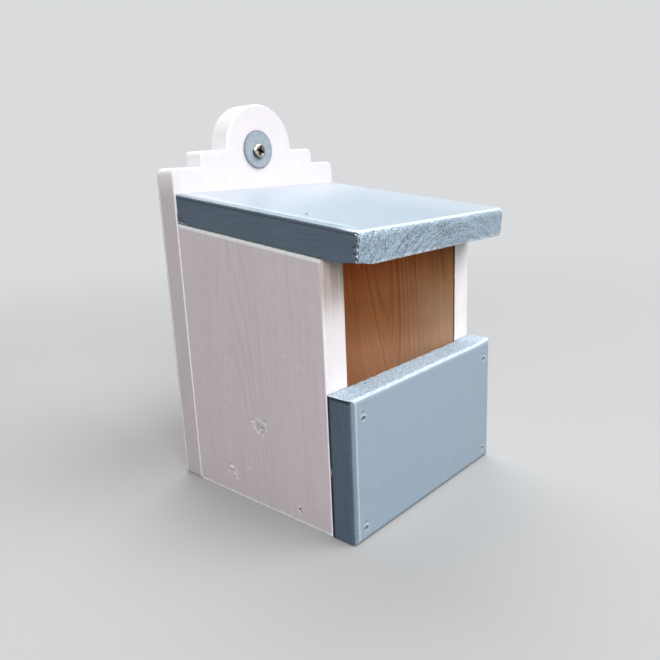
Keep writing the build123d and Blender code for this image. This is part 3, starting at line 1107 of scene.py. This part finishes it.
def roof_skin(points):
    x, y, z = points.T
    run, up = roof_run_and_up(points)
    nose = meet(ROOF_REACH - run, up - BOARD, NOSE_ROUND)
    lift = LIP_LIFT * ramp(-x, HALF_WIDTH - 15 * MM, HALF_WIDTH - 1 * MM)
    lift = lift * ramp(run, ROOF_REACH + 14 * MM, ROOF_REACH + 2 * MM)
    section = meet(meet(nose, lift - up, LIP_ROUND), y - BACK_FRONT, CRISP)
    crisp = np.where(x > 0, 1.2 * MM, CRISP)
    ease = crisp + ramp(up, 3 * MM, 9 * MM) * (TOP_EASE - crisp)
    return meet(section, np.abs(x) - HALF_WIDTH, ease)


def roof_damage(points, facing):
    """The splinter missing from the left edge beside the back board, and the bites by the nose."""
    run, up = roof_run_and_up(points)
    run, up = run / MM, up / MM
    low = 0.9 + 0.2 * np.sin(run * 1.7)
    tall = 2.2 * (1 + run / 9.0)
    inside = ramp(up, low - 0.25, low + 0.25) * (1 - ramp(up, low + tall - 0.25, low + tall + 0.35))
    depth = 1.5 * inside * (run > -9.0)
    for height, reach, half in BITES:
        away = np.hypot((run - ROOF_REACH / MM) / reach, (up - height) / half)
        depth = np.maximum(depth, 1.1 * (1 - ramp(away, 0.5, 1.1)))
    return depth * (facing[:, 0] < -0.5)


roof_pins = pins_of("roof_pin")
length = -ROOF_REACH
pin_share = [1 - (BACK_FRONT - y) / math.cos(ROOF_SLOPE) / length for y in pins_at(roof_pins, 1)]
near = [share * length for share in pin_share] + [length - 5 * MM]
grid = (lines(-HALF_WIDTH, HALF_WIDTH, ACROSS_FIBRES, pins_at(roof_pins, 0), *PIN_LINES),
        lines(0, length, ALONG_FIBRES, near, 5 * MM, 0.5 * MM) / length,
        lines(0, BOARD, ACROSS_FIBRES))
make_board("roof_board", grid, roof_place, roof_skin, ALONG, blue_roof, "blue_paint", 211.0, roof_damage)

# %% [markdown]
# ## Back board
# The back carries everything and shows its outline above the roof: low shoulders, a step and a half
# round head. A lattice can't follow such an outline, so this board is made as rings of points, from
# a ring inside the front face, over the rounded rim and across the edge, to the back. Each flat face
# is then filled with triangles through scattered points.

# %% Back board
CORNER_ROUND = 4.5 * MM
FOOT_ROUND = 1.0 * MM
RIM = 1.5 * MM
HOLE = 2.75 * MM
SCREW = Vector(((screw_low.x + screw_high.x) / 2, 0, (screw_low.z + screw_high.z) / 2))


def block(x, z, half, low, high, radius):
    """Distance to an upright rectangle with rounded corners."""
    across = np.abs(x) - half + radius
    up = np.abs(z - (low + high) / 2) - (high - low) / 2 + radius
    return np.hypot(np.maximum(across, 0), np.maximum(up, 0)) + np.minimum(np.maximum(across, up), 0) - radius


def outline(x, z):
    """Distance to the back board's outline."""
    corner = np.where(z > 0, CORNER_ROUND, FOOT_ROUND)
    body = block(x, z, HALF_WIDTH, BASE, SHOULDER, corner)
    step = block(x, z, STEP_HALF, 0, STEP, CORNER_ROUND)
    head = np.hypot(x, z - STEP) - HEAD
    return np.minimum(np.minimum(body, step), head)


def back_skin(points):
    x, y, z = points.T
    thick = np.maximum(BACK_FRONT - y, y)
    return meet(outline(x, z), thick, RIM)


def walk(corners, across, along):
    """Points round a closed outline, closer together on its level parts."""
    walked = []
    for start, stop in zip(corners, corners[1:] + corners[:1]):
        start, stop = np.array(start), np.array(stop)
        level = abs(stop[0] - start[0]) > abs(stop[1] - start[1])
        count = max(1, round(np.linalg.norm(stop - start) / (across if level else along)))
        walked.extend(start + (stop - start) * step / count for step in range(count))
    return np.array(walked)


def inset(ring, depth):
    """The ring moved inwards until it lies so deep inside the outline."""
    flat = np.stack([ring[:, 0], np.zeros(len(ring)), ring[:, 1]], 1)
    moved = settle(flat, lambda p: outline(p[:, 0], p[:, 2]) + depth, 8)
    return moved[:, [0, 2]]


head_angles = np.linspace(0, math.pi, 120)
corners = [(-HALF_WIDTH, BASE), (HALF_WIDTH, BASE), (HALF_WIDTH, SHOULDER)]
corners += [(STEP_HALF, SHOULDER), (STEP_HALF, STEP)]
corners += [(HEAD * math.cos(angle), STEP + HEAD * math.sin(angle)) for angle in head_angles]
corners += [(-STEP_HALF, STEP), (-STEP_HALF, SHOULDER), (-HALF_WIDTH, SHOULDER)]
rim_walk = walk(corners, 0.8 * MM, 1.6 * MM)
rim_rings = [inset(rim_walk, depth) for depth in EDGE_LINES[:7]]


def fill_face(edge, hole):
    """Triangles between an edge ring and a hole ring, through points scattered in the face."""
    xs = np.arange(-HALF_WIDTH, HALF_WIDTH, 1.7 * MM)
    zs = np.arange(BASE, STEP + HEAD, 4.1 * MM)
    spread = np.stack(np.meshgrid(xs, zs), -1).reshape(-1, 2)
    spread[:, 1] += 1.3 * MM * np.sin(spread[:, 0] / MM * 2.3)
    deep = outline(spread[:, 0], spread[:, 1]) < -3.0 * MM
    clear = np.hypot(spread[:, 0] - SCREW.x, spread[:, 1] - SCREW.z) > HOLE + 1.0 * MM
    spread = spread[deep & clear]
    flat = np.concatenate([edge, hole, spread])
    first = [(i, (i + 1) % len(edge)) for i in range(len(edge))]
    second = [(len(edge) + i, len(edge) + (i + 1) % len(hole)) for i in range(len(hole))]
    made = delaunay_2d_cdt([Vector(p) for p in flat.tolist()], first + second, [], 0, 1e-7, True)
    vertices, triangles, origins = made[0], made[2], made[3]
    renumber = {new: old[0] for new, old in enumerate(origins) if old}
    kept = []
    for triangle in triangles:
        middle = sum((vertices[i] for i in triangle), Vector((0, 0))) / 3
        inside = outline(np.array([middle.x]), np.array([middle.y]))[0] < -1.2 * MM
        if inside and (middle - Vector((SCREW.x, SCREW.z))).length > HOLE * 0.97:
            kept.append([renumber[i] for i in triangle])
    return spread, kept


print("points round the rim:", len(rim_walk))

# %% [markdown]
# ## Joining the rings
# Two neighbouring rings are joined by quads, and the two flat faces are closed by the same triangles,
# turned over at the back. The finished board is then settled and worn like the others.

# %% Rings to board
turn = np.linspace(0, 2 * math.pi, 33)[:-1]
hole_ring = np.stack([SCREW.x + HOLE * np.cos(turn), SCREW.z + HOLE * np.sin(turn)], 1)
spread, triangles = fill_face(rim_rings[-1], hole_ring)
thickness = np.linspace(0, 1, 24)[1:-1] * (BOARD - 4 * MM) + 2 * MM
levels = [(ring, BACK_FRONT) for ring in rim_rings[::-1]]
levels += [(rim_rings[0], BACK_FRONT + step) for step in EDGE_LINES[1:7]]
levels += [(rim_rings[0], BACK_FRONT + step) for step in thickness]
levels += [(rim_rings[0], -step) for step in EDGE_LINES[6:0:-1]]
levels += [(ring, 0.0) for ring in rim_rings]
round_count, hole_count = len(rim_walk), len(hole_ring)


def upright_ring(ring, y):
    return np.stack([ring[:, 0], np.full(len(ring), y), ring[:, 1]], 1)


rows = [upright_ring(ring, y) for ring, y in levels]
rows += [upright_ring(hole_ring, y) for y in (BACK_FRONT, 0.0)]
rows += [upright_ring(spread, y) for y in (BACK_FRONT, 0.0)]
points = np.concatenate(rows)
starts = np.cumsum([0] + [len(row) for row in rows])


def band(first, second, count):
    """Quads between two closed rings of the same length."""
    return [(first + i, first + (i + 1) % count, second + (i + 1) % count, second + i) for i in range(count)]


faces = []
for level in range(len(levels) - 1):
    faces += band(starts[level], starts[level + 1], round_count)
front_hole, back_hole, front_spread, back_spread = starts[len(levels):len(levels) + 4]
faces += band(back_hole, front_hole, hole_count)


def cap(triangle, ring_start, hole_start, spread_start):
    numbers = []
    for i in triangle:
        if i < round_count:
            numbers.append(ring_start + i)
        elif i < round_count + hole_count:
            numbers.append(hole_start + i - round_count)
        else:
            numbers.append(spread_start + i - round_count - hole_count)
    return numbers


faces += [cap(triangle, starts[0], front_hole, front_spread) for triangle in triangles]
faces += [cap(triangle, starts[len(levels) - 1], back_hole, back_spread)[::-1] for triangle in triangles]
rim_count = starts[len(levels)]
points[:rim_count] = settle(points[:rim_count], back_skin)
facing = facing_of(back_skin, points)
on_hole = slice(front_hole, front_spread)
depth = worn(points, facing, UPRIGHT, 307.0)
depth[on_hole] = 0
points = points - facing * (np.maximum(depth, 0) * MM)[:, None]
make_piece("back_board_dressed", points, faces, white_back, "white_paint", "back_board")

# %% [markdown]
# ## Screw, washer, pins and floor
# The washer is a painted disc, the screw a brassed pan head with a cross recess. The pins and the
# floor already have their right shapes, so they keep them and only get a finish.

# %% Metal and small finishes
WASHER = (washer_low + washer_high) / 2


def brassed_steel():
    finish = Finish("brassed_steel")
    place = finish.place()
    x, y, z = finish.xyz()
    away = ((x - SCREW.x) * (x - SCREW.x) + (z - SCREW.z) * (z - SCREW.z)).root()
    tarnish = finish.cloud(place, 900.0, 3.0)
    colour = finish.mix(tarnish.rise(0.4, 0.7), (0.80, 0.78, 0.68), (0.42, 0.38, 0.27))
    # The head's face is painted dark, standing in for dark surroundings that it reflects, and the recess near
    # black as its shade.
    face = away.rise_at(0, 4.1, 3.5) * y.rise_at(0, -18, -19)
    painted_recess_shade = y.rise_at(0, -21.75, -21.2) * face
    # A painted highlight on the recess's lower edge, and painted shade on the head's lower left side.
    painted_glint = spot((x - SCREW.x) / MM - 0.4, (z - SCREW.z) / MM + 2.6, 1.1, 0.8)
    turn_x, turn_y, turn_z = finish.facing()
    under = (turn_x * -0.6 + turn_z * -0.8).rise(0.30, 0.65)
    colour = layered(finish, colour, (face * 0.85, (0.17, 0.14, 0.085)), (painted_recess_shade, (0.012, 0.011, 0.009)),
                     (painted_glint, (0.97, 0.96, 0.90)), (under * 0.9, (0.03, 0.03, 0.026)))
    return finish.surface(colour, tarnish * 0.2 + 0.16, finish.cloud(place, 2500.0) * 0.03, 1.0)


def pin_steel():
    finish = Finish("pin_steel")
    place = finish.place()
    dull = finish.cloud(place, 1500.0, 2.0)
    colour = finish.mix(dull.rise(0.4, 0.6), (0.04, 0.055, 0.075), (0.11, 0.145, 0.19))
    return finish.surface(colour, dull * 0.3 + 0.45, dull * 0.05, 0.2)


def washer_paint():
    finish = Finish("washer_paint")
    place = finish.place()
    x, y, z = finish.xyz()
    away = ((x - WASHER.x) * (x - WASHER.x) + (z - WASHER.z) * (z - WASHER.z)).root()
    rim = away.rise_at(0, 11.3, 12.6)
    mottle = finish.cloud(place, 320.0, 3.0)
    colour = finish.mix(mottle.rise(0.3, 0.7), (0.30, 0.355, 0.405), (0.38, 0.435, 0.49))
    # Painted shade: the outer rim is painted darker as the shade of its edge.
    colour = finish.mix(rim * 0.7, colour, (0.17, 0.175, 0.185))
    return finish.surface(colour, mottle * 0.15 + 0.45, mottle * 0.05)


def bare_floor():
    finish = Finish("bare_pine_floor")
    colour, ridge, rings = bare_pine(finish, (20.0, 40.0), "roof")
    return finish.surface(colour, ridge + 0.6, ridge)


def give(node, material):
    """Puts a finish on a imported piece's own material slots."""
    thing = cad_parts[node]
    for place in thing.material_slots:
        place.material = material
    if not thing.material_slots:
        thing.data.materials.append(material)


give("floor_board", bare_floor())
steel = pin_steel()
for name in HEADS:
    give(name, steel)
print("finished the packed pieces that stay")

# %% [markdown]
# ## Screw and washer
# A screw is turned round its axis, so it can be made as rings of points. The same rings make the
# thread: the radius rises and falls along the shank, and the wave is shifted a little from one
# angle to the next, so the crests join into a spiral. The cross recess is pressed into the head by
# moving the points inside a cross back from the face.

# %% Turned pieces


def turned(centre, profile, around, radius_at=None, face_at=None):
    """Points and faces of rings round the depth axis; profile lists radius and depth of each ring."""
    turn = np.linspace(0, 2 * math.pi, around, endpoint=False)
    rings = []
    for radius, depth in profile:
        wide = np.full(around, radius) if radius_at is None else radius_at(radius, depth, turn)
        x, z = wide * np.cos(turn), wide * np.sin(turn)
        deep = np.full(around, depth) if face_at is None else depth + face_at(x, z, depth)
        rings.append(np.stack([centre.x + x, deep, centre.z + z], 1))
    points = np.concatenate(rings)
    faces = []
    for ring in range(len(profile) - 1):
        faces += band(ring * around, (ring + 1) * around, around)
    return points, faces


HEAD_RADIUS = 5.1 * MM
HEAD_TALL = 2.6 * MM
HEAD_ROUND = 1.9 * MM
NECK = 1.95 * MM
SHANK = 2.4 * MM
THREAD_DEEP = 0.75 * MM
THREAD_PITCH = 2.1 * MM
HEAD_FACE = screw_low.y
TIP = screw_high.y
THREAD_FROM = washer_low.y + 22 * MM
POINT_FROM = TIP - 8 * MM
HEAD_CROWN = 0.12 * MM
SLOT_HALF = 0.75 * MM
SLOT_REACH = 2.9 * MM
SLOT_DEEP = 1.8 * MM
SLOT_TURN = 0.35
HEAD_SHIFT = (-1.5 * MM, 0, -0.1 * MM)
AROUND_SCREW = 96
AROUND_WASHER = 128


def screw_profile():
    """Radius and depth from the middle of the head's face to the point."""
    flat = HEAD_RADIUS - HEAD_ROUND
    radii = np.linspace(0.02 * MM, flat, 24)
    rings = [(radius, HEAD_FACE + HEAD_CROWN * (radius / flat) ** 2) for radius in radii]
    for angle in np.linspace(0.12, math.pi / 2, 9):
        over = HEAD_FACE + HEAD_CROWN + (HEAD_ROUND - HEAD_CROWN) * (1 - math.cos(angle))
        rings.append((flat + HEAD_ROUND * math.sin(angle), over))
    rings += [(HEAD_RADIUS, HEAD_FACE + HEAD_TALL - 0.1 * MM), (HEAD_RADIUS - 0.1 * MM, HEAD_FACE + HEAD_TALL)]
    rings += [(NECK, HEAD_FACE + HEAD_TALL)]
    rings += [(NECK, depth) for depth in np.linspace(HEAD_FACE + HEAD_TALL + 0.5 * MM, THREAD_FROM, 12)]
    rings += [(SHANK, depth) for depth in np.arange(THREAD_FROM + 0.3 * MM, TIP - 0.1 * MM, 0.26 * MM)]
    return rings + [(0.03 * MM, TIP)]


def spiral(radius, depth, turn):
    """Radius round a ring of the thread, which thins to the point."""
    if depth < THREAD_FROM + 0.2 * MM or depth > TIP - 0.05 * MM:
        return np.full(len(turn), radius)
    wave = ((depth - THREAD_FROM) / THREAD_PITCH - turn / (2 * math.pi)) % 1.0
    crest = 1 - ramp(np.abs(wave - 0.5), 0.08, 0.30)
    taper = 1 - np.clip((depth - POINT_FROM) / (TIP - POINT_FROM), 0, 0.97)
    start = min(1.0, (depth - THREAD_FROM) / THREAD_PITCH)
    return (SHANK - THREAD_DEEP * (1 - crest * start)) * taper


def recess(x, z, depth):
    """How far the cross is pressed into the head."""
    if depth > HEAD_FACE + 0.3 * MM:
        return np.zeros(len(x))
    cos, sin = math.cos(SLOT_TURN), math.sin(SLOT_TURN)
    x, z = x * cos - z * sin, x * sin + z * cos
    slot = np.minimum(np.maximum(np.abs(x) - SLOT_HALF, np.abs(z) - SLOT_REACH),
                      np.maximum(np.abs(z) - SLOT_HALF, np.abs(x) - SLOT_REACH))
    deep = SLOT_DEEP * (1 - 0.45 * np.clip(np.hypot(x, z) / SLOT_REACH, 0, 1))
    return deep * (1 - ramp(slot, -0.16 * MM, 0.12 * MM))


points, faces = turned(SCREW, screw_profile(), AROUND_SCREW, spiral, recess)
askew = 1 - ramp(points[:, 1], HEAD_FACE, THREAD_FROM)
points = points + np.outer(askew, HEAD_SHIFT)
faces.append(list(range(AROUND_SCREW))[::-1])
faces.append(list(range(len(points) - AROUND_SCREW, len(points))))
make_piece("wall_screw_dressed", points, faces, brassed_steel(), "screw_metal", "wall_screw")

WASHER_RADIUS = (washer_high.x - washer_low.x) / 2 - 0.3 * MM
WASHER_HOLE = 3.6 * MM


def washer_profile():
    """Round the washer's section: hole, face, rim, back and hole again."""
    front, back = washer_low.y, washer_high.y
    rings = [(WASHER_HOLE, back), (WASHER_HOLE, front + 0.15 * MM), (WASHER_HOLE + 0.12 * MM, front)]
    rings += [(radius, front) for radius in np.linspace(WASHER_HOLE + 0.5 * MM, WASHER_RADIUS - 0.8 * MM, 12)]
    for angle in np.linspace(0, math.pi / 2, 5):
        rings.append((WASHER_RADIUS - 0.4 * MM * (1 - math.sin(angle)), front + 0.4 * MM * (1 - math.cos(angle))))
    return rings + [(WASHER_RADIUS, back - 0.15 * MM), (WASHER_RADIUS - 0.15 * MM, back), (WASHER_HOLE, back)]


points, faces = turned(WASHER, washer_profile()[:-1], AROUND_WASHER)
faces += band(len(points) - AROUND_WASHER, 0, AROUND_WASHER)
make_piece("wall_washer_dressed", points, faces, washer_paint(), "washer_metal", "wall_washer")

# %% [markdown]
# ## Floor and light
# A pale disc of floor fades into an equally pale surround, so there is no horizon line. Three wide
# round lamps stand three metres away and above the box: to the right, to the left and behind it.
# The left one keeps the side that faces the viewer from going dark.

# %% Studio
SURROUND = (0.70, 0.71, 0.72)
FLOOR_PALE = (0.47, 0.475, 0.48)
FLOOR_BOUNCE = (0.22, 0.22, 0.22)
FLOOR_RADIUS = 4.0
FADE_START = 0.30
FADE_END = 1.2
AMBIENT = 0.15
LAMP_AWAY = 3.0
LAMPS = {
    "soft_lamp_right": (Vector((0.42, -0.78, 1.20)), 2.2, 0.70),
    "soft_lamp_left": (Vector((-0.78, -1.0, 0.75)), 2.4, 0.84),
    "soft_lamp_back": (Vector((0.35, 0.45, 0.80)), 2.4, 0.60),
}


def make_floor():
    low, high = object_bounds()
    middle = Vector(((low.x + high.x) / 2, (low.y + high.y) / 2, low.z))
    bpy.ops.mesh.primitive_circle_add(vertices=128, radius=FLOOR_RADIUS, fill_type="NGON", location=middle)
    floor = bpy.context.object
    floor.name = "studio_floor"
    finish = Finish("studio_floor")
    x, y, z = finish.xyz()
    fade = (x * x + y * y).root().rise(FADE_START, FADE_END)
    seen = finish.node("ShaderNodeLightPath", out="Is Camera Ray")
    colour = finish.mix(seen, FLOOR_BOUNCE, FLOOR_PALE)
    pale = finish.node("ShaderNodeBsdfDiffuse", None, {"Color": colour})
    clear = finish.node("ShaderNodeBsdfTransparent")
    mixed = finish.node("ShaderNodeMixShader", None, {0: fade, 1: pale, 2: clear})
    finish.node("ShaderNodeOutputMaterial", None, {"Surface": mixed})
    floor.data.materials.append(finish.made)


def make_world():
    """A surround that is pale to the eye and in reflections, but dim as a source of light."""
    surround = Finish("soft_surround", "worlds")
    camera, glossy, through = [surround.node("ShaderNodeLightPath", out=f"Is {ray} Ray")
                               for ray in ("Camera", "Glossy", "Transmission")]
    seen = surround.node("ShaderNodeBackground", None, {"Color": (*SURROUND, 1.0)})
    soft = surround.node("ShaderNodeBackground", None, {"Color": (1.0, 1.0, 1.0, 1.0), "Strength": AMBIENT})
    mixed = surround.node("ShaderNodeMixShader", None, {0: camera.max(glossy).max(through), 1: soft, 2: seen})
    surround.node("ShaderNodeOutputWorld", None, {"Surface": mixed})
    bpy.context.scene.world = surround.made


def make_lamp(name, way, size, level):
    """A round lamp; level is how bright it makes white paper that faces it."""
    data = bpy.data.lights.new(name, "AREA")
    data.shape = "DISK"
    data.size = size
    data.energy = level * (math.pi * LAMP_AWAY) ** 2
    lamp = bpy.data.objects.new(name, data)
    lamp.location = way.normalized() * LAMP_AWAY
    lamp.rotation_euler = way.to_track_quat("Z", "Y").to_euler()
    lamp.visible_camera = False
    bpy.context.scene.collection.objects.link(lamp)


make_floor()
make_world()
for name, setting in LAMPS.items():
    make_lamp(name, *setting)
print("lamps:", list(LAMPS))
